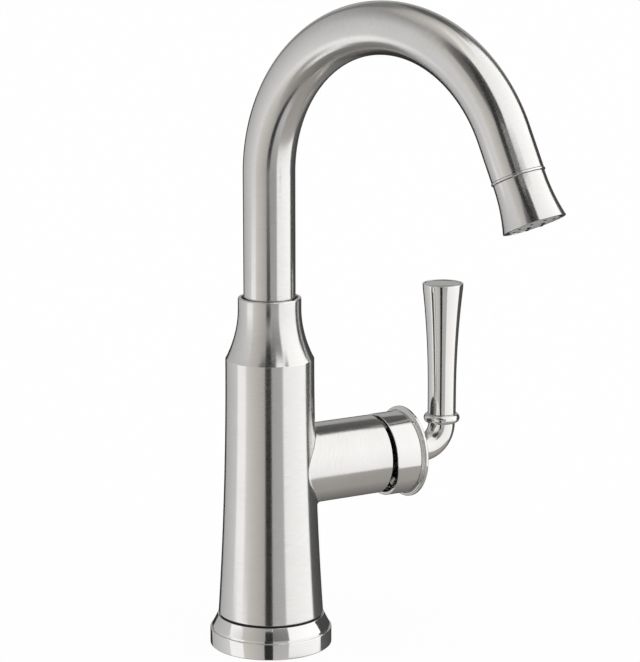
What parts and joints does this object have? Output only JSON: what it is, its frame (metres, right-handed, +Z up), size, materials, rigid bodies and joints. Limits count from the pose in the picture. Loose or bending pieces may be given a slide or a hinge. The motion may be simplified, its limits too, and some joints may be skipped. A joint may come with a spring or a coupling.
{
  "type": "gooseneck bar faucet",
  "caption": "Single-hole bar faucet with a swivelling gooseneck spout, a flared column on a stepped base ring and a side lever that tilts for flow and turns for temperature.",
  "frame": {"origin": "Centre of the deck hole, on the deck's top face, in the plane of the base ring's underside.", "axes": "+Z up along the column, +X along the side boss towards the lever, +Y to the back."},
  "size_m": [0.1411, 0.1939, 0.4145],
  "materials": {
    "brushed_nickel": "satin brushed nickel, fine scratches along the turning direction",
    "polished_nickel": "finer brushed, nearly polished nickel",
    "brass": "plain machined brass",
    "copper": "drawn copper tube",
    "steel": "plain stainless steel",
    "black_rubber": "matte black rubber",
    "black_plastic": "moulded black acetal",
    "white_plastic": "moulded white plastic",
    "grey_plastic": "moulded grey plastic",
    "ceramic": "lapped ceramic"
  },
  "bodies": {
    "body": {"body_shell": "brushed_nickel", "base_ring": "polished_nickel", "base_gasket": "black_rubber", "body_seal": "black_rubber", "mounting_shank": "brass", "clamp_washer_rubber": "black_rubber", "clamp_washer_steel": "steel", "mounting_nut": "brass", "jack_screw_1": "steel", "jack_screw_2": "steel", "jack_screw_3": "steel", "valve_block": "brass", "outlet_riser": "copper", "hot_supply_tube": "copper", "hot_supply_nipple": "brass", "cold_supply_tube": "copper", "cold_supply_nipple": "brass", "spout_bushing": "black_plastic", "spout_lock_screw": "steel", "cartridge_base": "white_plastic", "port_seal_hot": "black_rubber", "port_seal_cold": "black_rubber", "port_seal_mixed": "black_rubber", "fixed_disc": "ceramic", "cartridge_housing": "white_plastic", "cartridge_nut": "brass", "bonnet_ring": "black_plastic"},
    "spout": {"spout_hub": "brass", "hub_oring_lower": "black_rubber", "hub_oring_upper": "black_rubber", "spout_tube": "brushed_nickel", "seam_ring": "polished_nickel", "spout_bell": "brushed_nickel", "outlet_joiner": "brass", "aerator_housing": "black_plastic", "aerator_face": "grey_plastic", "aerator_screen": "steel", "aerator_washer": "black_rubber"},
    "stem_turn": {"stem_carrier": "grey_plastic", "stem_pin": "steel"},
    "disc": {"moving_disc": "ceramic", "disc_driver": "white_plastic"},
    "handle": {"valve_stem": "steel", "handle_cap": "brushed_nickel", "cap_flange": "polished_nickel", "handle_grub_screw": "steel", "grub_hole_plug": "grey_plastic", "lever_elbow": "polished_nickel", "lever_bead": "polished_nickel", "lever_grip": "polished_nickel", "lever_button": "polished_nickel", "lever_stud": "steel"}
  },
  "joints": [
    {"name": "spout_swivel", "type": "hinge", "parent": "body", "child": "spout", "pos_m": [0, 0, 0.15], "axis": [0, 0, 1], "continuous": true},
    {"name": "lever_turn", "type": "hinge", "parent": "body", "child": "stem_turn", "pos_m": [0.048, 0, 0.08895], "axis": [1, 0, 0], "range_deg": [-45, 45]},
    {"name": "lever_tilt", "type": "hinge", "parent": "stem_turn", "child": "handle", "pos_m": [0.048, 0, 0.08895], "axis": [0, 1, 0], "range_deg": [0, 25]},
    {"name": "disc_slide", "type": "slide", "parent": "stem_turn", "child": "disc", "axis": [0, 0, 1], "range_m": [0, 0.0034]}
  ],
  "couplings": [
    {"joint": "disc_slide", "follows": "lever_tilt", "m_per_rad": 0.007264}
  ]
}
